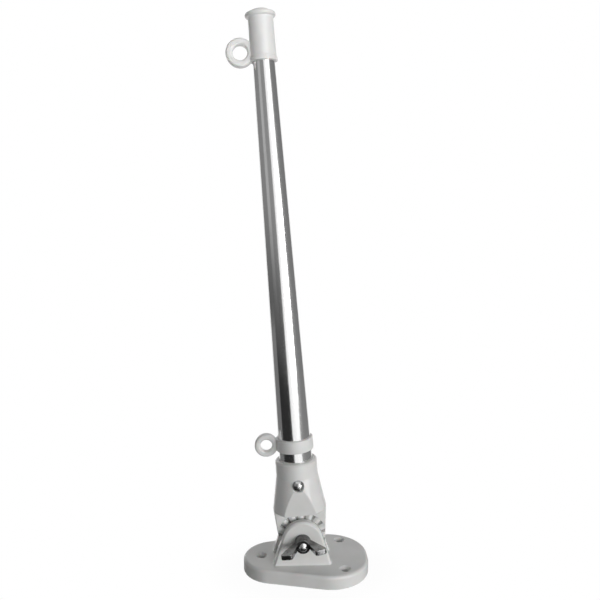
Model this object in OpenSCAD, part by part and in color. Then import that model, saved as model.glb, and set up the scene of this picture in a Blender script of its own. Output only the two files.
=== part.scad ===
// Boat flagpole: a tapered polished tube in a moulded socket, which tilts in a
// toothed fork on a screwed-down plate and is locked by a wing nut.
// Millimetres. The origin is on the deck, under the hinge; +Z is up and the
// wing nut faces -Y.

/* [Base plate] */
// Thickness of the plate
plate_t = 10; // [7:0.5:14]
// Radius of the plate's narrow end
nose_r = 24; // [22:0.5:27]
// Distance from the hinge to the centre of the narrow end
nose_x = 20.7; // [18:0.1:26]
// Radius of the plate's two broad corners
heel_r = 30; // [27:0.5:33]
// Distance from the hinge to the centres of the broad corners, along the plate
heel_x = 21; // [18:0.1:26]
// Distance from the middle line to the centres of the broad corners
heel_y = 4; // [2:0.5:8]
// Distance of the plate's middle line behind the pole's
plate_back = 2.5; // [0:0.5:5]
// Rounding of the plate's upper edge
plate_round = 2.4; // [1:0.2:4]
// Diameter of the deck screw holes
screw_hole_d = 4.8; // [4:0.1:6]
// Diameter of the countersinks at the top of the screw holes
countersink_d = 8.8; // [7.5:0.1:10]
// Depth of the countersinks
countersink_depth = 2; // [1:0.1:3]
// Distance from the hinge to the screw hole in the narrow end
nose_screw_x = 31; // [28:0.5:35]
// Distance from the hinge to the two screw holes in the broad end
heel_screw_x = 31.5; // [29:0.5:34]
// Distance between the two screw holes in the broad end
heel_screw_spacing = 45; // [36:0.5:46]

/* [Hinge fork] */
// Height of the hinge above the plate
hinge_rise = 18.5; // [17.5:0.5:24]
// Thickness of each cheek of the fork
cheek_t = 7; // [5:0.25:9]
// Radius of the round top of each cheek
cheek_r = 15.3; // [12:0.1:16.5]
// Half of the width of each cheek at its foot
cheek_foot = 22.7; // [19:0.1:23]
// Bevel round the outer face of each cheek
cheek_bevel = 1.4; // [0.6:0.1:2.4]
// Number of locking teeth in a full circle
tooth_count = 16; // [12:1:24]
// Depth of the teeth at the round top of the cheeks
tooth_depth = 1.2; // [0.6:0.1:1.6]
// Clear gap between the tooth tips, with the wing nut slackened
hinge_gap = 0.3; // [0.2:0.05:0.6]

/* [Socket] */
// Thickness of the tongue between the cheeks
tongue_t = 14; // [10:0.5:18]
// Clear gap between the tongue's round end and the plate
tongue_clear = 1; // [0.5:0.1:3]
// Half of the tongue's width where it joins the body
tongue_half = 20; // [18:0.25:20.25]
// Outer radius of the collar round the tube
collar_r = 15.8; // [15:0.1:17.5]
// Height of the collar's mouth above the hinge
collar_top = 60; // [56:0.5:66]
// Height above the hinge where the collar starts to flare
flare_top = 48; // [45:0.5:52]
// Height of the flared body's lower edge above the hinge
flare_foot = 21; // [19.5:0.25:24]
// Radius of the flared body at its lower edge
flare_r = 20.4; // [20:0.1:22]
// Half of the body's depth between its flat panels, at the lower edge
panel_half = 16.2; // [14.5:0.1:17]
// Height above the hinge where the flat panels run out into the flare
panel_apex = 41.5; // [38:0.5:44]

/* [Tube] */
// Outer diameter of the tube at its foot
tube_foot_d = 26; // [24:0.1:27]
// Outer diameter of the tube at its tip
tube_tip_d = 15; // [13:0.1:18]
// Length of the tube
tube_length = 351; // [251:5:501]
// Wall thickness of the tube
tube_wall = 1.2; // [0.8:0.1:2]
// Height of the tube's foot above the hinge
tube_foot = 28.5; // [26:0.5:32]
// Clearance between the tube and the mouldings on it
tube_fit = 0.1; // [0.05:0.05:0.3]
// Lean of the pole from upright, towards the eyes
lean = 4.4; // [0:0.1:20]

/* [Top cap] */
// Depth of the tube inside the cap
cap_cover = 29; // [18:0.5:36]
// Wall of the cap's barrel
cap_wall = 1.3; // [1:0.1:2.5]
// Overhang of the flange beyond the barrel
cap_flange_lip = 2; // [1:0.1:3.5]
// Thickness of the flange
cap_flange_t = 3.2; // [2:0.1:5]
// Rise of the domed top above the flange
cap_dome = 3; // [2:0.1:6]
// Outer radius of the cap's eye
cap_eye_r = 10; // [9:0.1:12]
// Radius of the hole in the cap's eye
cap_eye_hole_r = 5.2; // [4:0.1:6]
// Thickness of the cap's eye
cap_eye_t = 7; // [5:0.1:9]
// Distance from the pole's axis to the centre of the cap's eye
cap_eye_x = 16.4; // [15:0.1:19]
// Height of the eye's centre above the cap's mouth
cap_eye_rise = 7; // [3:0.5:12]

/* [Halyard ring] */
// Height of the ring's lower edge above the hinge
ring_foot = 67.5; // [62:0.5:120]
// Height of the ring
ring_h = 9.5; // [8:0.5:16]
// Wall of the ring
ring_wall = 1.6; // [1.2:0.1:3]
// Outer radius of the ring's eye
ring_eye_r = 8.7; // [7.5:0.1:10]
// Radius of the hole in the ring's eye
ring_eye_hole_r = 4.4; // [3.5:0.1:5]
// Thickness of the ring's eye
ring_eye_t = 6; // [4:0.1:8]
// Height of the eye's centre above the middle of the ring
ring_eye_rise = 0; // [-1:0.5:1]
// Bite of the ring's eye into the ring's wall
ring_eye_bite = 1.4; // [1:0.1:1.6]

/* [Fasteners] */
// Diameter of the hinge bolt
bolt_d = 6; // [5:0.5:8]
// Clearance round the bolt in the mouldings
bolt_fit = 0.2; // [0.1:0.05:0.4]
// Length of bolt that stands out of the wing nut's hub
bolt_tip = 2.5; // [1:0.5:6]
// Distance across the flats of the bolt's head
bolt_head_af = 10; // [8:0.5:13]
// Height of the bolt's head
bolt_head_h = 4; // [3:0.5:6]
// Depth of the six-sided pocket that keeps the head from turning
bolt_pocket = 2; // [1:0.25:3]
// Radius of the wing nut's hub at its seat
nut_hub_r = 6.3; // [5.5:0.1:8]
// Height of the wing nut's hub
nut_hub_h = 8; // [6:0.5:10]
// Reach of the wing tips from the bolt's axis
nut_wing_reach = 16.5; // [14:0.5:18]
// Height of the wing tips above the nut's seat
nut_wing_h = 20; // [14:0.5:22]
// Width of the wing tips
nut_wing_w = 8.5; // [5:0.5:9]
// Thickness of the wings
nut_wing_t = 3.6; // [2:0.1:4.5]
// Turn of the wings from level
nut_turn = 8; // [0:1:90]
// Diameter of the screw that holds the tube in the socket
lock_screw_d = 4; // [3:0.5:5]
// Diameter of that screw's domed head
lock_head_d = 9; // [7:0.5:11]
// Height of that screw's domed head
lock_head_h = 3.2; // [2:0.1:4.5]
// Height of that screw above the hinge
lock_screw_z = 44; // [42:0.5:50]

/* [Hidden] */
$fn = 96;
eps = 0.01;
far = 60;

moulding = "whitesmoke";
steel = "silver";

hinge_z = plate_t + hinge_rise;
slot_half = tongue_t / 2 + hinge_gap;
fork_half = slot_half + cheek_t;
tongue_r = hinge_rise - tongue_clear;
bolt_r = bolt_d / 2;
bolt_bore_r = bolt_r + bolt_fit;
nut_gap = hinge_gap;
nut_seat_y = -fork_half - nut_gap;
wing_round = 1.8;
thread_fit = 0.1;
cap_mouth = tube_foot + tube_length - cap_cover;
cap_end = tube_foot + tube_length;
eye_round = 1.5;
rim_chamfer = 1;
head_sink = 0.7;

// Radius of the tube's outside at a height above the hinge
function tube_r(z) =
    (tube_foot_d + (tube_tip_d - tube_foot_d) * (z - tube_foot) / tube_length) / 2;

// Radius of the flared body at a height above the hinge
function body_r(z) =
    collar_r + (flare_r - collar_r) * (flare_top - z) / (flare_top - flare_foot);

// Radius of the sphere whose cap has this foot radius and rise
function dome_r(foot_r, rise) = (foot_r * foot_r + rise * rise) / (2 * rise);

// Places the tilting pieces: hinge at the origin, tube along +Z
module on_hinge() {
    translate([0, 0, hinge_z]) rotate([0, -lean, 0]) children();
}

// Turns a shape made along +Z so that it points along -Y
module to_front() {
    rotate([90, 0, 0]) children();
}

// Turns a shape made along +Z so that it points along +Y
module to_back() {
    rotate([-90, 0, 0]) children();
}

// A rectangle with round corners, centred on the origin
module round_rect(width, height, r) {
    square([width - 2 * r, height], center = true);
    square([width, height - 2 * r], center = true);
    for (x = [-1, 1], y = [-1, 1])
        translate([x * (width / 2 - r), y * (height / 2 - r)]) circle(r);
}

// A cone that follows the tube's taper between two heights, with a clearance
module tube_cone(z0, z1, gap) {
    translate([0, 0, z0]) cylinder(h = z1 - z0, r1 = tube_r(z0) + gap, r2 = tube_r(z1) + gap);
}

// A low dome standing on z = 0
module dome(foot_r, rise) {
    sphere_r = dome_r(foot_r, rise);
    intersection() {
        translate([0, 0, rise - sphere_r]) sphere(sphere_r);
        cylinder(h = rise + 1, r = foot_r + 1);
    }
}

// An eye with its hole along Y, centred on the origin
module eye(outer_r, hole_r, thickness) {
    band = outer_r - hole_r;
    to_front() rotate(180) rotate_extrude() translate([(outer_r + hole_r) / 2, 0])
        round_rect(band, thickness, min(eye_round, band / 2.2, thickness / 2.2));
}

// V-shaped grooves that leave a ring of teeth in the face z = 0, deeper outwards
module tooth_grooves(r0, r1) {
    pitch = 360 / tooth_count;
    spread = 0.9 * cheek_r * tan(pitch / 2) / tooth_depth;
    slope = atan(tooth_depth / cheek_r);
    top = 3;
    for (k = [0 : tooth_count - 1])
        rotate([0, 0, (k + 0.5) * pitch]) rotate([0, 90 + slope, 0])
            translate([0, 0, r0]) linear_extrude(r1 - r0)
                polygon([[0, 0], [-top, spread * top], [-top, -spread * top]]);
}

// The plate's blank: a blunt egg with a rounded upper edge
module plate_disc(r) {
    rotate_extrude() {
        square([r - plate_round, plate_t]);
        square([r, plate_t - plate_round]);
        translate([r - plate_round, plate_t - plate_round]) circle(plate_round, $fn = 24);
    }
}

module plate_blank() {
    hull() {
        translate([-nose_x, plate_back, 0]) plate_disc(nose_r);
        for (side = [-1, 1]) translate([heel_x, plate_back + side * heel_y, 0]) plate_disc(heel_r);
    }
}

// A countersunk hole right through the plate
module deck_hole() {
    translate([0, 0, -1]) cylinder(h = plate_t + 2, d = screw_hole_d);
    translate([0, 0, plate_t - countersink_depth])
        cylinder(h = countersink_depth + eps, d1 = screw_hole_d, d2 = countersink_d);
}

// A round end on the origin, with straight sides that run off it towards +Y
module round_ended(r, half_w, reach) {
    touch = atan(reach / half_w) - acos(r / norm([half_w, reach]));
    circle(r);
    polygon([[half_w, reach], [r * cos(touch), r * sin(touch)],
             [-r * cos(touch), r * sin(touch)], [-half_w, reach]]);
}

// Outline of a cheek, drawn in from its full size, with its foot in the plate
module cheek_outline(inset) {
    rotate(180) round_ended(cheek_r - inset, cheek_foot - inset, hinge_rise + plate_round);
}

// A cheek standing on z = 0 of the slot's wall, bevelled towards its outer face
module cheek() {
    flat = 0.1;
    hull() {
        linear_extrude(cheek_t - cheek_bevel) cheek_outline(0);
        translate([0, 0, cheek_t - flat]) linear_extrude(flat) cheek_outline(cheek_bevel);
    }
}

module base() {
    color(moulding) difference() {
        union() {
            plate_blank();
            translate([0, -slot_half, hinge_z]) to_front() cheek();
            translate([0, slot_half, hinge_z]) mirror([0, 1, 0]) to_front() cheek();
        }
        translate([-nose_screw_x, plate_back, 0]) deck_hole();
        for (side = [-1, 1])
            translate([heel_screw_x, plate_back + side * heel_screw_spacing / 2, 0]) deck_hole();
        translate([0, fork_half + 1, hinge_z]) to_front()
            cylinder(h = 2 * fork_half + 2, r = bolt_bore_r);
        translate([0, fork_half + eps, hinge_z]) to_front()
            cylinder(h = bolt_pocket + eps, r = (bolt_head_af / 2 + bolt_fit) / cos(30), $fn = 6);
        translate([0, -slot_half, hinge_z]) to_back() tooth_grooves(cheek_r / 2, cheek_r + 3);
        translate([0, slot_half, hinge_z]) to_front() tooth_grooves(cheek_r / 2, cheek_r + 3);
    }
}

module hinge_bolt() {
    head_y = fork_half - bolt_pocket;
    tip_y = nut_seat_y - nut_hub_h - bolt_tip;
    color(steel) translate([0, 0, hinge_z]) {
        translate([0, head_y + bolt_head_h, 0]) to_front() intersection() {
            cylinder(h = bolt_head_h, r = bolt_head_af / 2 / cos(30), $fn = 6);
            cylinder(h = bolt_head_h, r1 = bolt_head_af / 2, r2 = bolt_head_af / 2 + bolt_head_h);
        }
        translate([0, head_y, 0]) to_front() cylinder(h = head_y - tip_y - 0.6, r = bolt_r);
        translate([0, tip_y + 0.6, 0]) to_front() cylinder(h = 0.6, r1 = bolt_r, r2 = bolt_r - 0.6);
    }
}

// The point of the unit circle at an angle
function unit(angle) = [cos(angle), sin(angle)];

// One wing in the plane of the bolt's axis: x outwards, y away from the seat
module wing_outline() {
    drop = 1;
    outer = [nut_wing_reach - wing_round, nut_wing_h - wing_round - drop];
    inner = [nut_wing_reach - nut_wing_w + wing_round, nut_wing_h - wing_round];
    crest = 90 - atan(drop / (outer.x - inner.x));
    translate(outer) circle(wing_round);
    translate(inner) circle(wing_round);
    polygon([[bolt_r + 1, 1], [nut_hub_r - 0.4, 1],
             outer + wing_round * unit(-27), outer + wing_round * unit(crest),
             inner + wing_round * unit(crest), inner + wing_round * unit(150),
             [bolt_r + 1, nut_hub_h - 0.5]]);
}

module wing_nut() {
    color(steel) translate([0, nut_seat_y, hinge_z]) to_front() rotate([0, 0, nut_turn]) difference() {
        union() {
            cylinder(h = nut_hub_h, r1 = nut_hub_r, r2 = nut_hub_r - 1.2);
            for (side = [0, 180]) rotate([0, 0, side]) rotate([90, 0, 0])
                translate([0, 0, -nut_wing_t / 2]) linear_extrude(nut_wing_t) wing_outline();
        }
        translate([0, 0, -1]) cylinder(h = nut_hub_h + nut_wing_h, r = bolt_r + thread_fit);
    }
}

// The flared body under the collar, cut flat in front and behind
module socket_body() {
    height = flare_top - flare_foot;
    panel_rise = (body_r(panel_apex) - panel_half) / (panel_apex - flare_foot);
    top_half = panel_half + panel_rise * height;
    intersection() {
        translate([0, 0, flare_foot]) union() {
            cylinder(h = rim_chamfer, r1 = flare_r - rim_chamfer, r2 = body_r(flare_foot + rim_chamfer));
            translate([0, 0, rim_chamfer])
                cylinder(h = height - rim_chamfer, r1 = body_r(flare_foot + rim_chamfer), r2 = collar_r);
        }
        rotate([90, 0, 90]) translate([0, 0, -far / 2]) linear_extrude(far)
            polygon([[-panel_half, flare_foot], [panel_half, flare_foot],
                     [top_half, flare_top], [-top_half, flare_top]]);
    }
}

// The tongue: a round end at the hinge, widening up into the body
module tongue() {
    translate([0, tongue_t / 2, 0]) to_front() linear_extrude(tongue_t)
        round_ended(tongue_r, tongue_half, flare_foot + rim_chamfer);
}

module socket() {
    color(moulding) on_hinge() difference() {
        union() {
            socket_body();
            translate([0, 0, flare_top]) cylinder(h = collar_top - flare_top - rim_chamfer, r = collar_r);
            translate([0, 0, collar_top - rim_chamfer])
                cylinder(h = rim_chamfer, r1 = collar_r, r2 = collar_r - rim_chamfer);
            tongue();
        }
        tube_cone(tube_foot, collar_top + 1, tube_fit);
        translate([0, far / 2, 0]) to_front() cylinder(h = far, r = bolt_bore_r);
        translate([0, -body_r(lock_screw_z) + head_sink, lock_screw_z]) to_front()
            cylinder(h = far / 2, d = lock_head_d + 2 * tube_fit);
        translate([0, 0, lock_screw_z]) to_front() cylinder(h = far / 2, d = lock_screw_d + 2 * tube_fit);
        translate([0, -tongue_t / 2, 0]) to_front() tooth_grooves(cheek_r / 2, tongue_r + 1.5);
        translate([0, tongue_t / 2, 0]) to_back() tooth_grooves(cheek_r / 2, tongue_r + 1.5);
    }
}

module lock_screw() {
    seat_y = -body_r(lock_screw_z) + head_sink;
    point_y = -tube_r(lock_screw_z) + tube_wall + 2;
    color(steel) on_hinge() translate([0, seat_y, lock_screw_z]) to_front() {
        dome(lock_head_d / 2, lock_head_h);
        translate([0, 0, seat_y - point_y]) cylinder(h = point_y - seat_y + eps, d = lock_screw_d);
    }
}

module pole_tube() {
    tip = tube_foot + tube_length;
    color(steel) on_hinge() difference() {
        tube_cone(tube_foot, tip, 0);
        tube_cone(tube_foot - 1, tip + 1, -tube_wall);
        translate([0, 0, lock_screw_z]) to_front() cylinder(h = far / 2, d = lock_screw_d + 2 * tube_fit);
    }
}

module halyard_ring() {
    ring_top = ring_foot + ring_h;
    ring_r = tube_r(ring_foot) + tube_fit + ring_wall;
    edge = ring_wall / 3;
    eye_z = ring_foot + ring_h / 2 + ring_eye_rise;
    color(moulding) on_hinge() difference() {
        union() {
            translate([0, 0, ring_foot]) rotate_extrude()
                polygon([[0, 0], [ring_r - edge, 0], [ring_r, edge], [ring_r, ring_h - edge],
                         [ring_r - edge, ring_h], [0, ring_h]]);
            translate([-ring_r + ring_eye_bite - ring_eye_r, 0, eye_z])
                eye(ring_eye_r, ring_eye_hole_r, ring_eye_t);
        }
        tube_cone(ring_foot - 1, ring_top + 1, tube_fit);
    }
}

module top_cap() {
    barrel_foot_r = tube_r(cap_mouth) + tube_fit + cap_wall;
    barrel_top_r = tube_r(cap_end) + tube_fit + cap_wall;
    flange_r = barrel_top_r + cap_flange_lip;
    lip_h = 3;
    lip_r = barrel_foot_r + 0.4;
    round_r = cap_flange_t / 2;
    color(moulding) on_hinge() difference() {
        union() {
            translate([0, 0, cap_mouth]) cylinder(h = lip_h, r = lip_r);
            translate([0, 0, cap_mouth]) cylinder(h = cap_cover + 1, r1 = barrel_foot_r, r2 = barrel_top_r);
            translate([0, 0, cap_end + 1]) rotate_extrude() {
                square([flange_r - round_r, cap_flange_t]);
                translate([flange_r - round_r, round_r]) circle(round_r);
            }
            translate([0, 0, cap_end + 1 + cap_flange_t]) dome(barrel_top_r, cap_dome);
            translate([-cap_eye_x, 0, cap_mouth + cap_eye_rise]) eye(cap_eye_r, cap_eye_hole_r, cap_eye_t);
        }
        tube_cone(cap_mouth - cap_eye_r, cap_end, tube_fit);
    }
}

base();
hinge_bolt();
wing_nut();
socket();
lock_screw();
pole_tube();
halyard_ring();
top_cap();
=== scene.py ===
import math

import bpy
from mathutils import Matrix, Vector


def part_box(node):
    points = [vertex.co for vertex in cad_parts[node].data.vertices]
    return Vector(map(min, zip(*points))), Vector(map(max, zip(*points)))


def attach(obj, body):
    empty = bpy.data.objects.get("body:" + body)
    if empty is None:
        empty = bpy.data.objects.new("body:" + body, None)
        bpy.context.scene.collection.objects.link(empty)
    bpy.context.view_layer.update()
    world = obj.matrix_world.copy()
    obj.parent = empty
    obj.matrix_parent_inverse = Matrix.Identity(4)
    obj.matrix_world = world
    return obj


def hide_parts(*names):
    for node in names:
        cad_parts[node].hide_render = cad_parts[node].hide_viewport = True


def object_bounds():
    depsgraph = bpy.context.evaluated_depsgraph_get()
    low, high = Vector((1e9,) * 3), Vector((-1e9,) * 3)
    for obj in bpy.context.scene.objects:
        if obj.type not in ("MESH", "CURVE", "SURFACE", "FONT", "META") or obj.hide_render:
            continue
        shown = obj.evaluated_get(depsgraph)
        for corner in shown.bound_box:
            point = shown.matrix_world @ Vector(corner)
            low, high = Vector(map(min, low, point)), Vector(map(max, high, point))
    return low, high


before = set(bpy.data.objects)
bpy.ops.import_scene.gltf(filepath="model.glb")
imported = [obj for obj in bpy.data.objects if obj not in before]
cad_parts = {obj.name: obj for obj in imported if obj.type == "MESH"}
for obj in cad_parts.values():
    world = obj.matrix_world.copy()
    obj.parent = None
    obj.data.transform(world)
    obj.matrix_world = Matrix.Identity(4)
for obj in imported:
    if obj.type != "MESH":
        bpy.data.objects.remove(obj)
cad_low, cad_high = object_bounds()

# Camera, as it stood for the photograph: metres and degrees
CAMERA_PLACE = (-0.0221, -0.4737, 0.2628)
CAMERA_DOWN = 6.5
CAMERA_RIGHT = 2.5
CAMERA_LENS = 38.85
CAMERA_NEAR = 0.01
SENSOR = 36.0

# The hinge and the pole's lean, as in the solids
HINGE_Z = 0.0285
LEAN = math.radians(4.4)

# Along the hinge, +Z of a piece as it is made points to the front
TO_FRONT = Matrix.Rotation(math.radians(90.0), 4, "X")
ON_POLE = Matrix.Translation((0.0, 0.0, HINGE_Z)) @ Matrix.Rotation(-LEAN, 4, "Y")

# Corners of the solids closer together than this are one corner
MERGE = 0.000001
# Edges shorter than this are left from cuts and carry no shape
SLIVER = 0.000015
# A level cut takes a corner to be on it only within this
CUT_EXACT = 0.00000001


# Small steps of modelling


def only(obj):
    """Makes one object the active and the only selected one."""
    bpy.ops.object.select_all(action="DESELECT")
    obj.select_set(True)
    bpy.context.view_layer.objects.active = obj


def edit(obj):
    """Goes into edit mode with nothing selected."""
    only(obj)
    bpy.ops.object.mode_set(mode="EDIT")
    bpy.ops.mesh.select_mode(type="VERT")
    bpy.ops.mesh.select_all(action="DESELECT")


def leave_edit():
    bpy.ops.object.mode_set(mode="OBJECT")


def added(name):
    """Names the primitive that was just added."""
    obj = bpy.context.active_object
    obj.name = name
    return obj


def pick_faces(obj, test):
    """Selects the faces whose middle and normal pass a test."""
    leave_edit()
    for polygon in obj.data.polygons:
        polygon.select = bool(test(polygon.center, polygon.normal))
    bpy.ops.object.mode_set(mode="EDIT")
    bpy.ops.mesh.select_mode(type="FACE")


def apply_place(obj):
    """Leaves an object at the origin, with its place in its mesh."""
    only(obj)
    bpy.ops.object.transform_apply(location=True, rotation=True, scale=True)


def settle(obj, place):
    """Moves a piece to its place and leaves its object at the origin, unturned."""
    obj.matrix_world = place
    bpy.context.view_layer.update()
    apply_place(obj)
    return obj


def apply_modifier(obj, kind, **values):
    """Adds a modifier, sets it and applies it."""
    only(obj)
    modifier = obj.modifiers.new(kind.lower(), kind)
    for key, value in values.items():
        setattr(modifier, key, value)
    bpy.ops.object.modifier_apply(modifier=modifier.name)


def bevel(obj, width, sharper_than):
    """Rounds the edges that are sharper than an angle in radians."""
    apply_modifier(
        obj, "BEVEL", width=width, segments=2, limit_method="ANGLE", angle_limit=sharper_than
    )


def cut_away(obj, cutter):
    """Cuts one closed shape out of another and removes the cutter."""
    apply_modifier(obj, "BOOLEAN", operation="DIFFERENCE", solver="EXACT", object=cutter)
    bpy.data.objects.remove(cutter)


def keep_inside(obj, form):
    """Keeps what of a closed shape is inside another, and removes the other."""
    apply_modifier(obj, "BOOLEAN", operation="INTERSECT", solver="EXACT", object=form)
    bpy.data.objects.remove(form)


def level_cut(obj, height, **side):
    """Cuts a piece level at a height, clears one side and closes the cut."""
    edit(obj)
    bpy.ops.mesh.select_all(action="SELECT")
    bpy.ops.mesh.bisect(
        plane_co=(0.0, 0.0, height),
        plane_no=(0.0, 0.0, 1.0),
        use_fill=True,
        threshold=CUT_EXACT,
        **side,
    )
    leave_edit()


def drop_slivers(obj):
    """Takes out the faces without area that a cut and a bevel leave."""
    edit(obj)
    bpy.ops.mesh.select_all(action="SELECT")
    bpy.ops.mesh.remove_doubles(threshold=SLIVER)
    bpy.ops.mesh.select_all(action="SELECT")
    bpy.ops.mesh.dissolve_degenerate(threshold=SLIVER)
    leave_edit()


def join(pieces):
    """Joins pieces into the first of them."""
    only(pieces[0])
    for piece in pieces[1:]:
        piece.select_set(True)
    bpy.ops.object.join()
    return pieces[0]


# Mouldings and castings: the solids with soft edges

# The tongue's sides are rounded between these heights over the hinge, to these radii
ROUND_FOOT = (0.0, 0.0189)
ROUND_TOP = (0.0230, 0.02045)
ROUND_MARGIN = 0.002
ROUND_OUTSIDE = 0.030
SMOOTH_FACTOR = 0.5


def side_round():
    """A ring that takes the tongue's corners back to the round of the flare above."""
    height = ROUND_TOP[0] - ROUND_FOOT[0]
    slope = (ROUND_TOP[1] - ROUND_FOOT[1]) / height
    middle = (0.0, 0.0, (ROUND_TOP[0] + ROUND_FOOT[0]) / 2)
    bpy.ops.object.select_all(action="DESELECT")
    bpy.ops.mesh.primitive_cylinder_add(
        vertices=96, radius=ROUND_OUTSIDE, depth=height, location=middle
    )
    ring = added("side_round")
    bpy.ops.object.select_all(action="DESELECT")
    bpy.ops.mesh.primitive_cone_add(
        vertices=192,
        radius1=ROUND_FOOT[1] - slope * ROUND_MARGIN,
        radius2=ROUND_TOP[1] + slope * ROUND_MARGIN,
        depth=height + 2 * ROUND_MARGIN,
        location=middle,
    )
    cut_away(ring, added("round_core"))
    apply_place(ring)
    return settle(ring, ON_POLE)


def softened(node_name, piece_name, voxel, passes, keep, trim=None):
    """A solid's copy with the rounded edges and filled corners of a moulding."""
    piece = bpy.data.objects.new(piece_name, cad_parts[node_name].data.copy())
    bpy.context.scene.collection.objects.link(piece)
    edit(piece)
    bpy.ops.mesh.select_all(action="SELECT")
    bpy.ops.mesh.remove_doubles(threshold=MERGE)
    leave_edit()
    if trim:
        cut_away(piece, trim)
    apply_modifier(piece, "REMESH", mode="VOXEL", voxel_size=voxel)
    apply_modifier(piece, "SMOOTH", factor=SMOOTH_FACTOR, iterations=passes)
    apply_modifier(piece, "DECIMATE", ratio=keep)
    bpy.ops.object.shade_smooth()
    return piece


# Fasteners, made by hand

BOLT_R = 0.003
BOLT_END_RISE = 0.0009
BOLT_HEAD_H = 0.004
BOLT_HEAD_AF = 0.010
HEX_TURN = math.radians(30.0)
# The cone that turns off the head's corners: its narrow end's share of the flats, and its slope
HEAD_TURNED = 0.96
HEAD_CONE_SLOPE = 2.0
# Bevels: widths, and the angles in radians past which an edge gets one
HEAD_BEVEL = 0.00015
HEAD_BEVEL_ANGLE = 0.5
SHANK_BEVEL = 0.0003
SHANK_BEVEL_ANGLE = 0.8
# The plain shank's share of the bolt's radius, where it starts in the head, and its overlap
SHANK_SHARE = 0.97
SHANK_FROM = 0.9 * BOLT_HEAD_H
SHANK_OVERLAP = 0.0003
BOLT_CREASE = math.radians(32.0)

THREAD_PITCH = 0.001
THREAD_DEPTH = 0.0005
THREAD_TURNS = 13
# Turns made before the thread's first cut, so that the cut is closed all round
THREAD_LEAD = 2
THREAD_SIDES = 40
# The thread stops this share of the dome's rise before the bolt's end
THREAD_SHORT_OF_END = 0.9
# One turn's outline: steps outwards, and their shares of the pitch
THREAD_STEPS = (
    (THREAD_DEPTH, 0.40),
    (0.0, 0.15),
    (-THREAD_DEPTH, 0.35),
    (0.0, 0.10),
)
# The thread is cut this much past its corners' heights, so that no corner lies on the cut
OFF_CORNER = 0.0000071

SCREW_HEAD_R = 0.0045
SCREW_HEAD_H = 0.0032
SCREW_R = 0.002
SCREW_SEAT_Z = 0.044
SCREW_OVERLAP = 0.0001
SCREW_CREASE = math.radians(35.0)
# The cross in the screw's head: length, width and depth of an arm, its turn and its taper
RECESS_SIZE = (0.0042, 0.0010, 0.0030)
RECESS_TURN = 18.0
RECESS_TAPER = 0.55
# A face whose normal's height is under this looks down
LOOKS_DOWN = -0.9


def spherical_cap(name, foot_r, rise):
    """A low dome standing on z = 0."""
    sphere_r = (foot_r ** 2 + rise ** 2) / (2 * rise)
    bpy.ops.object.select_all(action="DESELECT")
    bpy.ops.mesh.primitive_uv_sphere_add(
        segments=72, ring_count=64, radius=sphere_r, location=(0.0, 0.0, rise - sphere_r)
    )
    cap = added(name)
    apply_place(cap)
    level_cut(cap, 0.0, clear_inner=True)
    return cap


def round_bar(name, sides, radius, start, end):
    """A plain bar between two heights, with rounded ends."""
    bpy.ops.object.select_all(action="DESELECT")
    bpy.ops.mesh.primitive_cylinder_add(
        vertices=sides, radius=radius, depth=end - start, location=(0.0, 0.0, (start + end) / 2)
    )
    bar = added(name)
    bevel(bar, SHANK_BEVEL, SHANK_BEVEL_ANGLE)
    return bar


def hex_head():
    """A six-sided head on z = 0, its outer corners turned off by a cone."""
    middle = (0.0, 0.0, BOLT_HEAD_H / 2)
    bpy.ops.object.select_all(action="DESELECT")
    bpy.ops.mesh.primitive_cylinder_add(
        vertices=6,
        radius=BOLT_HEAD_AF / 2 / math.cos(HEX_TURN),
        depth=BOLT_HEAD_H,
        location=middle,
        rotation=(0.0, 0.0, HEX_TURN),
    )
    head = added("bolt_head")
    apply_place(head)
    turned_r = BOLT_HEAD_AF / 2 * HEAD_TURNED
    bpy.ops.object.select_all(action="DESELECT")
    bpy.ops.mesh.primitive_cone_add(
        vertices=96,
        radius1=turned_r,
        radius2=turned_r + HEAD_CONE_SLOPE * BOLT_HEAD_H,
        depth=BOLT_HEAD_H,
        location=middle,
    )
    keep_inside(head, added("bolt_head_cone"))
    drop_slivers(head)
    bevel(head, HEAD_BEVEL, HEAD_BEVEL_ANGLE)
    drop_slivers(head)
    return head


def thread(start, end):
    """A screw thread from one height to another."""
    bpy.ops.object.select_all(action="DESELECT")
    bpy.ops.mesh.primitive_plane_add(size=THREAD_PITCH, location=(0.0, 0.0, 0.0))
    coil = added("bolt_thread")
    edit(coil)
    bpy.ops.mesh.select_all(action="SELECT")
    bpy.ops.mesh.merge(type="CENTER")
    root = BOLT_R - THREAD_DEPTH
    bpy.ops.transform.translate(value=(root, 0.0, start - THREAD_LEAD * THREAD_PITCH))
    for outwards, share in THREAD_STEPS:
        bpy.ops.mesh.extrude_region_move(
            TRANSFORM_OT_translate={"value": (outwards, 0.0, share * THREAD_PITCH)}
        )
    leave_edit()
    apply_modifier(
        coil,
        "SCREW",
        axis="Z",
        angle=math.radians(360.0),
        screw_offset=THREAD_PITCH,
        iterations=THREAD_TURNS + THREAD_LEAD + 1,
        steps=THREAD_SIDES,
        render_steps=THREAD_SIDES,
    )
    edit(coil)
    bpy.ops.mesh.select_all(action="SELECT")
    bpy.ops.mesh.remove_doubles(threshold=MERGE)
    bpy.ops.mesh.normals_make_consistent(inside=False)
    leave_edit()
    level_cut(coil, start + OFF_CORNER, clear_inner=True)
    level_cut(coil, end + OFF_CORNER, clear_outer=True)
    return coil


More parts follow.
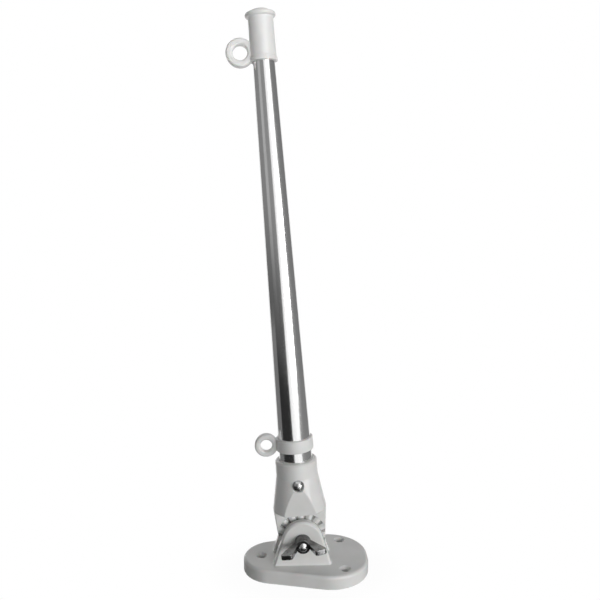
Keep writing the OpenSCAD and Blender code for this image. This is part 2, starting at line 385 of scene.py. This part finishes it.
def hinge_bolt():
    """The bolt of the hinge: head behind, plain shank, thread with a domed end in front."""
    low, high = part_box("hinge_bolt")
    length = high.y - low.y
    thread_start = length - THREAD_TURNS * THREAD_PITCH
    head = hex_head()
    shank = round_bar(
        "bolt_shank", 72, BOLT_R * SHANK_SHARE, SHANK_FROM, thread_start + SHANK_OVERLAP
    )
    dome = spherical_cap("bolt_end", BOLT_R - THREAD_DEPTH / 2, BOLT_END_RISE)
    settle(dome, Matrix.Translation((0.0, 0.0, length - BOLT_END_RISE)))
    coil = thread(thread_start, length - THREAD_SHORT_OF_END * BOLT_END_RISE)
    bolt = join([head, shank, coil, dome])
    bolt.name = "bolt_of_hinge"
    settle(bolt, Matrix.Translation((0.0, high.y, HINGE_Z)) @ TO_FRONT)
    bpy.ops.object.shade_smooth_by_angle(angle=BOLT_CREASE)
    return bolt


def cross_recess():
    """A tapered cross, to be cut into a screw's head."""
    arms = []
    for turn in (0.0, 90.0):
        bpy.ops.object.select_all(action="DESELECT")
        bpy.ops.mesh.primitive_cube_add(
            size=1.0,
            location=(0.0, 0.0, SCREW_HEAD_H),
            rotation=(0.0, 0.0, math.radians(turn + RECESS_TURN)),
            scale=RECESS_SIZE,
        )
        arm = added("recess_arm")
        apply_place(arm)
        pick_faces(arm, lambda middle, normal: normal.z < LOOKS_DOWN)
        bpy.ops.transform.resize(
            value=(RECESS_TAPER, RECESS_TAPER, 1.0), center_override=(0.0, 0.0, 0.0)
        )
        leave_edit()
        arms.append(arm)
    return arms


def lock_screw():
    """The domed cross-head screw that holds the tube in the socket."""
    low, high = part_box("lock_screw")
    head = spherical_cap("screw_of_socket", SCREW_HEAD_R, SCREW_HEAD_H)
    for arm in cross_recess():
        cut_away(head, arm)
    depth = high.y - low.y - SCREW_HEAD_H
    shank = round_bar("screw_shank", 48, SCREW_R, SCREW_OVERLAP - depth, SCREW_OVERLAP)
    screw = join([head, shank])
    seat = Matrix.Translation((0.0, low.y + SCREW_HEAD_H, SCREW_SEAT_Z))
    settle(screw, ON_POLE @ seat @ TO_FRONT)
    bpy.ops.object.shade_smooth_by_angle(angle=SCREW_CREASE)
    return screw


# Node trees


def new_material(name):
    """A material with an empty node tree, ready to be filled."""
    material = bpy.data.materials.new(name)
    material.use_nodes = True
    material.node_tree.nodes.clear()
    return material


def node(tree, kind, **values):
    """Adds a node and sets its plain properties and sockets by name."""
    made = tree.nodes.new(kind)
    for key, value in values.items():
        if key in made.inputs:
            made.inputs[key].default_value = value
        else:
            setattr(made, key, value)
    return made


def link(tree, out_socket, in_socket):
    tree.links.new(out_socket, in_socket)


def put_value(tree, target, value):
    """Gives an input a number, or links a socket to it."""
    if isinstance(value, (int, float)):
        target.default_value = value
    else:
        link(tree, value, target)


def map_range(tree, source, from_range, to_range, smooth=False):
    """Maps a value from one range to another, held at the ends."""
    made = node(tree, "ShaderNodeMapRange")
    if smooth:
        made.interpolation_type = "SMOOTHSTEP"
    put_value(tree, made.inputs["From Min"], from_range[0])
    put_value(tree, made.inputs["From Max"], from_range[1])
    put_value(tree, made.inputs["To Min"], to_range[0])
    put_value(tree, made.inputs["To Max"], to_range[1])
    link(tree, source, made.inputs["Value"])
    return made.outputs["Result"]


def math_of(tree, operation, first, second):
    """The result of a sum on two values, each a socket or a number."""
    made = node(tree, "ShaderNodeMath", operation=operation)
    put_value(tree, made.inputs[0], first)
    put_value(tree, made.inputs[1], second)
    return made.outputs[0]


def noise(tree, place, **values):
    """A noise texture at a place; its value runs round one half."""
    made = node(tree, "ShaderNodeTexNoise", **values)
    link(tree, place, made.inputs["Vector"])
    return made


def cells(tree, place, scale):
    """The distance to the nearest of many scattered points."""
    made = node(tree, "ShaderNodeTexVoronoi", Randomness=1.0, Scale=scale)
    link(tree, place, made.inputs["Vector"])
    return made.outputs["Distance"]


def mapped(tree, place, **values):
    """A place that is moved, turned and scaled."""
    made = node(tree, "ShaderNodeMapping", **values)
    link(tree, place, made.inputs["Vector"])
    return made.outputs["Vector"]


def coordinate(tree, place, axis):
    """One coordinate of a place."""
    made = tree.nodes.new("ShaderNodeSeparateXYZ")
    link(tree, place, made.inputs["Vector"])
    return made.outputs[axis]


def length_of(tree, place):
    """How far a place is from the origin."""
    made = node(tree, "ShaderNodeVectorMath", operation="LENGTH")
    link(tree, place, made.inputs[0])
    return made.outputs["Value"]


def object_place(tree):
    """Object coordinates."""
    return tree.nodes.new("ShaderNodeTexCoord").outputs["Object"]


# Shared effects

# The part of a noise's values that is used
NOISE_SPAN = (0.3, 0.7)
FINISH = ("Shade", "Roughness", "Height")


def effect_group(name, inputs, outputs):
    """A shared effect's node group, with its inputs and outputs and nothing between them."""
    group = bpy.data.node_groups.new(name, "ShaderNodeTree")
    kind = "NodeSocketFloat"
    for title, value in inputs.items():
        made = group.interface.new_socket(name=title, in_out="INPUT", socket_type=kind)
        made.default_value = value
    for title in outputs:
        group.interface.new_socket(name=title, in_out="OUTPUT", socket_type=kind)
    put_in = group.nodes.new("NodeGroupInput")
    put_out = group.nodes.new("NodeGroupOutput")
    return group, put_in.outputs, put_out.inputs


def moulded_skin_group():
    """Moulded grain, flow marks and a fine seam on the plane y = 0."""
    inputs = {"Grain Scale": 2200.0, "Flow Scale": 45.0, "Seam": 1.0}
    speck_scale = 170.0
    speck_edge = (0.02, 0.09)
    speck_depth = 0.25
    seam_edge = (0.00008, 0.00030)
    seam_dark = 0.6
    grain_share = 0.25
    flow_span = (0.32, 0.70)
    shine = (0.18, 0.27)
    group, given, result = effect_group("moulded_skin", inputs, FINISH)
    place = object_place(group)
    grain = noise(group, place, Detail=4.0, Roughness=0.6)
    flow = noise(group, place, Detail=3.0, Roughness=0.5, Distortion=0.3)
    link(group, given["Grain Scale"], grain.inputs["Scale"])
    link(group, given["Flow Scale"], flow.inputs["Scale"])
    off_seam = math_of(group, "ABSOLUTE", coordinate(group, place, "Y"), 0.0)
    ridge = map_range(group, off_seam, seam_edge, (1.0, 0.0), smooth=True)
    seam = math_of(group, "MULTIPLY", ridge, given["Seam"])
    flowed = map_range(group, flow.outputs["Fac"], flow_span, (0.0, 1.0))
    specks = cells(group, place, speck_scale)
    pits = map_range(group, specks, speck_edge, (speck_depth, 0.0), smooth=True)
    pitted = math_of(group, "SUBTRACT", flowed, pits)
    shade = math_of(group, "SUBTRACT", pitted, math_of(group, "MULTIPLY", seam, seam_dark))
    fine = math_of(group, "MULTIPLY", grain.outputs["Fac"], grain_share)
    link(group, shade, result["Shade"])
    link(group, map_range(group, flow.outputs["Fac"], NOISE_SPAN, shine), result["Roughness"])
    link(group, math_of(group, "ADD", fine, seam), result["Height"])
    return group


def polish_group():
    """Polishing lines along the pole, with faint smudges."""
    line_scale = (900.0, 900.0, 9.0)
    line_shine = (0.12, 0.19)
    smudge_span = (0.50, 0.72)
    smudge_dull = 0.06
    smudge_dark = 0.5
    group, _, result = effect_group("polish_lines", {}, FINISH)
    place = object_place(group)
    along = mapped(group, place, Rotation=(0.0, LEAN, 0.0), Scale=line_scale)
    lines = noise(group, along, Scale=1.0, Detail=4.0, Roughness=0.65).outputs["Fac"]
    smudge = noise(group, place, Scale=38.0, Detail=4.0, Roughness=0.6, Distortion=0.6)
    wiped = map_range(group, smudge.outputs["Fac"], smudge_span, (0.0, 1.0), smooth=True)
    lined = map_range(group, lines, NOISE_SPAN, line_shine)
    dulled = math_of(group, "MULTIPLY", wiped, smudge_dull)
    darkened = math_of(group, "MULTIPLY", wiped, smudge_dark)
    link(group, math_of(group, "SUBTRACT", 1.0, darkened), result["Shade"])
    link(group, math_of(group, "ADD", lined, dulled), result["Roughness"])
    link(group, lines, result["Height"])
    return group


def worn_steel_group():
    """Cast or turned steel: a clouded tone, small pits and an uneven shine."""
    pit_scale = 1500.0
    pit_edge = (0.0, 0.35)
    shine = (0.16, 0.30)
    group, given, result = effect_group("worn_steel", {"Cloud Scale": 260.0}, FINISH)
    place = object_place(group)
    clouds = noise(group, place, Detail=5.0, Roughness=0.6)
    link(group, given["Cloud Scale"], clouds.inputs["Scale"])
    cloud = clouds.outputs["Fac"]
    pitted = map_range(group, cells(group, place, pit_scale), pit_edge, (0.0, 1.0), smooth=True)
    link(group, map_range(group, cloud, NOISE_SPAN, (0.0, 1.0)), result["Shade"])
    link(group, map_range(group, cloud, NOISE_SPAN, shine), result["Roughness"])
    link(group, math_of(group, "MULTIPLY", pitted, cloud), result["Height"])
    return group


def hinge_painted_shade_group():
    """Painted shade in a band beside the middle plane, within a distance of the hinge's axis:
    darkens grooves and hollows where shadow falls.
    """
    inputs = {"Middle": 0.0062, "Half Width": 0.0008, "Reach": 0.02, "Strength": 0.8}
    full_width_share = 0.5
    full_reach_share = 0.7
    patch_span = (0.3, 0.6)
    patch_strength = (0.65, 1.0)
    group, given, result = effect_group("hinge_painted_shade", inputs, ("Mask",))
    place = object_place(group)
    side = math_of(group, "ABSOLUTE", coordinate(group, place, "Y"), 0.0)
    off = math_of(group, "ABSOLUTE", math_of(group, "SUBTRACT", side, given["Middle"]), 0.0)
    half = given["Half Width"]
    full = math_of(group, "MULTIPLY", half, full_width_share)
    banded = map_range(group, off, (full, half), (1.0, 0.0), smooth=True)
    round_axis = mapped(group, place, Location=(0.0, 0.0, -HINGE_Z), Scale=(1.0, 0.0, 1.0))
    reach = given["Reach"]
    inner = math_of(group, "MULTIPLY", reach, full_reach_share)
    near = map_range(group, length_of(group, round_axis), (inner, reach), (1.0, 0.0), smooth=True)
    patches = noise(group, place, Scale=420.0, Detail=3.0, Roughness=0.6)
    patchy = map_range(group, patches.outputs["Fac"], patch_span, patch_strength)
    mask = math_of(group, "MULTIPLY", math_of(group, "MULTIPLY", banded, near), patchy)
    link(group, math_of(group, "MULTIPLY", mask, given["Strength"]), result["Mask"])
    return group


# Materials


def mix_colours(tree, first, second, factor):
    """A mix of two colours, each a socket or three numbers."""
    made = node(tree, "ShaderNodeMix", data_type="RGBA")
    ends = [item for item in made.inputs if item.type == "RGBA"]
    for end, colour in zip(ends, (first, second)):
        if isinstance(colour, tuple):
            end.default_value = (*colour, 1.0)
        else:
            link(tree, colour, end)
    link(tree, factor, made.inputs["Factor"])
    return [item for item in made.outputs if item.type == "RGBA"][0]


def place_effect(tree, effect, values):
    """Places a shared effect in a material, with its own values."""
    made = tree.nodes.new("ShaderNodeGroup")
    made.node_tree = effect
    for key, value in values.items():
        made.inputs[key].default_value = value
    return made.outputs


def paint_shade(material, effect, tone, values):
    """Mixes a tone of painted shade into a material's colour by the mask of a shared effect."""
    tree = material.node_tree
    shader = [item for item in tree.nodes if item.type == "BSDF_PRINCIPLED"][0]
    clean = shader.inputs["Base Color"].links[0].from_socket
    mask = place_effect(tree, effect, values)["Mask"]
    link(tree, mix_colours(tree, clean, tone, mask), shader.inputs["Base Color"])


def finish_material(name, effect, values, tones, bump, settings):
    """A material from a shared effect: two tones, a roughness and a fine bump."""
    material = new_material(name)
    tree = material.node_tree
    out = tree.nodes.new("ShaderNodeOutputMaterial")
    shader = node(tree, "ShaderNodeBsdfPrincipled")
    for key, value in settings.items():
        shader.inputs[key].default_value = value
    surface = place_effect(tree, effect, values)
    link(tree, mix_colours(tree, *tones, surface["Shade"]), shader.inputs["Base Color"])
    link(tree, surface["Roughness"], shader.inputs["Roughness"])
    relief = node(tree, "ShaderNodeBump", Strength=bump[0], Distance=bump[1])
    link(tree, surface["Height"], relief.inputs["Height"])
    link(tree, relief.outputs["Normal"], shader.inputs["Normal"])
    link(tree, shader.outputs["BSDF"], out.inputs["Surface"])
    return material


def set_material(obj, material):
    obj.data.materials.clear()
    obj.data.materials.append(material)


def grey(value):
    """A neutral tone."""
    return (value, value, value)


# Shader settings, the darker and lighter tone, and the bump's strength and distance
NYLON = {"IOR": 1.5, "Subsurface Weight": 0.06, "Subsurface Scale": 0.002}
NYLON_TONES = ((0.74, 0.74, 0.725), (0.80, 0.80, 0.79))
NYLON_BUMP = (0.10, 0.0002)
STEEL = {"Metallic": 1.0}
POLISHED_TONES = ((0.80, 0.80, 0.79), grey(0.86))
POLISHED_BUMP = (0.03, 0.00002)
CAST_TONES = (grey(0.25), grey(0.38))
CAST_BUMP = (0.12, 0.00008)
BRIGHT_TONES = (grey(0.44), grey(0.58))
BRIGHT_BUMP = (0.05, 0.00005)
# Painted shade: a dark tone for the hinge's grooves, and a darker one round the nut's hub
PAINTED_SHADE_TONE = (0.16, 0.16, 0.15)
HUB_PAINTED_SHADE_TONE = grey(0.05)

# Where painted shade lies: in the tongue's grooves, in the cheeks' grooves, and round the nut's
# hub
TONGUE_PAINTED_SHADE = {"Middle": 0.0057, "Half Width": 0.0006, "Reach": 0.026}
CHEEK_PAINTED_SHADE = {"Middle": 0.0086, "Half Width": 0.0007, "Reach": 0.021}
HUB_PAINTED_SHADE = {"Middle": 0.0175, "Half Width": 0.0110, "Reach": 0.012}

skin = moulded_skin_group()
polish = polish_group()
worn = worn_steel_group()
painted_shade = hinge_painted_shade_group()
nylon = finish_material("white_nylon", skin, {}, NYLON_TONES, NYLON_BUMP, NYLON)
plate_nylon = finish_material(
    "white_nylon_plate", skin, {"Seam": 0.0}, NYLON_TONES, NYLON_BUMP, NYLON
)
steel = finish_material("polished_steel", polish, {}, POLISHED_TONES, POLISHED_BUMP, STEEL)
cast_steel = finish_material("cast_steel", worn, {}, CAST_TONES, CAST_BUMP, STEEL)
bright_steel = finish_material("fastener_steel", worn, {}, BRIGHT_TONES, BRIGHT_BUMP, STEEL)
# Painted shade darkens the tongue's and cheeks' grooves and the ground round the nut's hub
paint_shade(nylon, painted_shade, PAINTED_SHADE_TONE, TONGUE_PAINTED_SHADE)
paint_shade(plate_nylon, painted_shade, PAINTED_SHADE_TONE, CHEEK_PAINTED_SHADE)
paint_shade(cast_steel, painted_shade, HUB_PAINTED_SHADE_TONE, HUB_PAINTED_SHADE)


# Pieces

plate = softened("base", "plate_moulding", voxel=0.00034, passes=3, keep=0.3)
holder = softened(
    "socket", "socket_moulding", voxel=0.00030, passes=3, keep=0.4, trim=side_round()
)
ring = softened("halyard_ring", "ring_moulding", voxel=0.00026, passes=4, keep=0.5)
cap = softened("top_cap", "cap_moulding", voxel=0.00028, passes=4, keep=0.5)
nut = softened("wing_nut", "nut_casting", voxel=0.00020, passes=7, keep=0.6)

# What each solid is shown by: piece, body, material and slot
PIECES = (
    ("base", plate, "foot", plate_nylon, "white_nylon"),
    ("socket", holder, "pole", nylon, "white_nylon"),
    ("halyard_ring", ring, "pole", nylon, "white_nylon"),
    ("top_cap", cap, "pole", nylon, "white_nylon"),
    ("wing_nut", nut, "nut", cast_steel, "fastener_steel"),
    ("hinge_bolt", hinge_bolt(), "foot", bright_steel, "fastener_steel"),
    ("lock_screw", lock_screw(), "pole", bright_steel, "fastener_steel"),
)
for solid, piece, body, material, slot in PIECES:
    set_material(piece, material)
    set_material(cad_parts[solid], material)
    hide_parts(solid)
    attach(piece, body)
set_material(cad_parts["pole_tube"], steel)


# Studio: floor, world, lamps and cards

WHITE = (1.0, 1.0, 1.0, 1.0)
AMBIENT = 0.18
FLOOR_SIZE = 8.0
FLOOR_DROP = 0.0002
FLOOR_GREY = (0.60, 0.60, 0.60, 1.0)
# The floor's soft shadow: half width and half depth, the shift that centres it, and its fade
SHADOW_HALF = (0.056, 0.042)
SHADOW_SHIFT = (-0.05, -0.07, 0.0)
SHADOW_FADE = (0.8, 1.5)
SHADOW_WHITE = (0.97, 1.0)
# The cards stand and lie round the object within this radius and height, some only near it
SURROUND_R = 0.95
SURROUND_H = 1.1
NEAR_R = 0.18
CARD_SIDES = 360
TABLE_LIFT = 0.0008
# Between these heights or distances a card is graded from its first shade to its second
WALL_REACH = (0.0, 0.32)
TABLE_REACH = (0.5, 0.9)
NEAR_REACH = (0.09, 0.18)
GLOW_REACH = (0.06, 0.08)
# Cards: name, first and last bearing from the front to the right, and shades
WALLS = (
    ("back_left_wall", -140.0, -74.0, (0.10, 0.24)),
    ("left_strip", -74.0, -47.0, (0.09, 0.44)),
    ("left_wall", -47.0, -9.0, (0.09, 0.27)),
    ("bright_strip", 18.0, 40.0, (3.5, 3.5)),
    ("right_wall", 54.0, 140.0, (0.20, 0.20)),
)
# The same for the cards on the floor, then their reach and radius
TABLES = (
    ("left_table", -140.0, -86.0, (0.18, 0.22), TABLE_REACH, SURROUND_R),
    ("dark_table", -86.0, -9.0, (0.025, 0.10), TABLE_REACH, SURROUND_R),
    ("right_table", 46.0, 140.0, (0.22, 0.22), TABLE_REACH, SURROUND_R),
    ("front_table", -9.0, 26.0, (0.06, 1.0), NEAR_REACH, NEAR_R),
    ("front_glow", 26.0, 31.0, (0.06, 3.6), GLOW_REACH, NEAR_R),
    ("side_table", 31.0, 46.0, (0.06, 1.0), NEAR_REACH, NEAR_R),
)


def studio_floor():
    """A white floor just under the plate, which takes a soft shadow near it."""
    bpy.ops.object.select_all(action="DESELECT")
    bpy.ops.mesh.primitive_plane_add(size=FLOOR_SIZE, location=(0.0, 0.0, cad_low.z - FLOOR_DROP))
    floor = added("studio_floor")
    material = new_material("studio_white")
    tree = material.node_tree
    out = tree.nodes.new("ShaderNodeOutputMaterial")
    lit = node(tree, "ShaderNodeBsdfDiffuse", Color=FLOOR_GREY)
    glow = node(tree, "ShaderNodeEmission", Color=WHITE, Strength=1.0)
    shadow_scale = (1 / SHADOW_HALF[0], 1 / SHADOW_HALF[1], 0.0)
    spread = mapped(tree, object_place(tree), Location=SHADOW_SHIFT, Scale=shadow_scale)
    fade = map_range(tree, length_of(tree, spread), SHADOW_FADE, SHADOW_WHITE, smooth=True)
    ray = tree.nodes.new("ShaderNodeLightPath")
    seen = math_of(tree, "MULTIPLY", fade, ray.outputs["Is Camera Ray"])
    shown = math_of(tree, "MAXIMUM", seen, ray.outputs["Is Glossy Ray"])
    mix = tree.nodes.new("ShaderNodeMixShader")
    link(tree, shown, mix.inputs["Fac"])
    link(tree, lit.outputs["BSDF"], mix.inputs[1])
    link(tree, glow.outputs["Emission"], mix.inputs[2])
    link(tree, mix.outputs["Shader"], out.inputs["Surface"])
    set_material(floor, material)


def studio_world():
    """White to the camera and to reflections, a plain grey to everything it lights."""
    world = bpy.data.worlds.new("studio")
    bpy.context.scene.world = world
    world.use_nodes = True
    tree = world.node_tree
    tree.nodes.clear()
    out = tree.nodes.new("ShaderNodeOutputWorld")
    ray = tree.nodes.new("ShaderNodeLightPath").outputs
    mirrored = math_of(tree, "MAXIMUM", ray["Is Glossy Ray"], ray["Is Transmission Ray"])
    seen = math_of(tree, "MAXIMUM", ray["Is Camera Ray"], mirrored)
    light = node(tree, "ShaderNodeBackground", Color=WHITE)
    link(tree, map_range(tree, seen, (0.0, 1.0), (AMBIENT, 1.0)), light.inputs["Strength"])
    link(tree, light.outputs["Background"], out.inputs["Surface"])


def studio_lamp(name, place, target, size, watts, spread=180.0):
    """A soft rectangular lamp, with a beam as wide as its spread in degrees."""
    data = bpy.data.lights.new(name, "AREA")
    data.shape = "RECTANGLE"
    data.size = size[0]
    data.size_y = size[1]
    data.energy = watts
    data.spread = math.radians(spread)
    lamp = bpy.data.objects.new(name, data)
    bpy.context.scene.collection.objects.link(lamp)
    lamp.location = place
    way = Vector(target) - lamp.location
    lamp.rotation_euler = way.to_track_quat("-Z", "Y").to_euler()
    return lamp


def studio_lamps():
    """A broad key lamp from the right, a narrow one on the top, and one from behind."""
    studio_lamp("key_lamp", (0.72, -0.83, 0.22), (0.0, 0.0, 0.20), size=(1.0, 0.42), watts=8.8)
    top_lamp = studio_lamp(
        "top_lamp",
        (-0.05, -0.95, 0.50),
        (-0.03, 0.0, 0.42),
        size=(0.3, 0.2),
        watts=0.12,
        spread=36.0,
    )
    back_lamp = studio_lamp(
        "back_lamp", (-0.55, 1.00, 0.15), (0.0, 0.0, 0.20), size=(1.2, 0.3), watts=6.6
    )
    top_lamp.visible_glossy = False
    back_lamp.visible_glossy = False


def card_paper(card, way_along, reach, shades):
    """Grey paper that only reflections see, graded along a way from the object."""
    material = new_material(card.name + "_paper")
    tree = material.node_tree
    out = tree.nodes.new("ShaderNodeOutputMaterial")
    way = way_along(tree, object_place(tree))
    glow = node(tree, "ShaderNodeEmission", Color=WHITE)
    link(tree, map_range(tree, way, reach, shades, smooth=True), glow.inputs["Strength"])
    link(tree, glow.outputs["Emission"], out.inputs["Surface"])
    set_material(card, material)
    card.visible_camera = False
    card.visible_diffuse = False
    card.visible_transmission = False
    card.visible_shadow = False


def height_of(tree, place):
    """How high a place is."""
    return coordinate(tree, place, "Z")


def keep_bearings(card, start, end):
    """Deletes a round card outside two bearings, counted from the front to the right."""

    def outside(middle, normal):
        bearing = math.degrees(math.atan2(middle.x, -middle.y))
        return not start <= bearing <= end

    apply_place(card)
    edit(card)
    pick_faces(card, outside)
    bpy.ops.mesh.delete(type="FACE")
    leave_edit()


def studio_wall(name, start, end, shades):
    """A curved card round the object, graded from its foot upwards."""
    bpy.ops.object.select_all(action="DESELECT")
    bpy.ops.mesh.primitive_cylinder_add(
        vertices=CARD_SIDES,
        radius=SURROUND_R,
        depth=SURROUND_H,
        end_fill_type="NOTHING",
        location=(0.0, 0.0, SURROUND_H / 2),
    )
    card = added(name)
    keep_bearings(card, start, end)
    card_paper(card, height_of, WALL_REACH, shades)


def studio_table(name, start, end, shades, reach, radius):
    """A flat card round the object on the floor, graded outwards."""
    bpy.ops.object.select_all(action="DESELECT")
    bpy.ops.mesh.primitive_circle_add(
        vertices=CARD_SIDES, radius=radius, fill_type="TRIFAN", location=(0.0, 0.0, TABLE_LIFT)
    )
    card = added(name)
    keep_bearings(card, start, end)
    card_paper(card, length_of, reach, shades)


def photo_camera():
    """The camera of the photograph."""
    data = bpy.data.cameras.new("photo_camera")
    data.sensor_width = SENSOR
    data.lens = CAMERA_LENS
    data.clip_start = CAMERA_NEAR
    camera = bpy.data.objects.new("photo_camera", data)
    bpy.context.scene.collection.objects.link(camera)
    camera.location = CAMERA_PLACE
    camera.rotation_euler = (math.radians(90.0 - CAMERA_DOWN), 0.0, -math.radians(CAMERA_RIGHT))
    bpy.context.scene.camera = camera


studio_floor()
studio_world()
studio_lamps()
for wall in WALLS:
    studio_wall(*wall)
for table in TABLES:
    studio_table(*table)
photo_camera()
bpy.context.scene.view_settings.view_transform = "Standard"
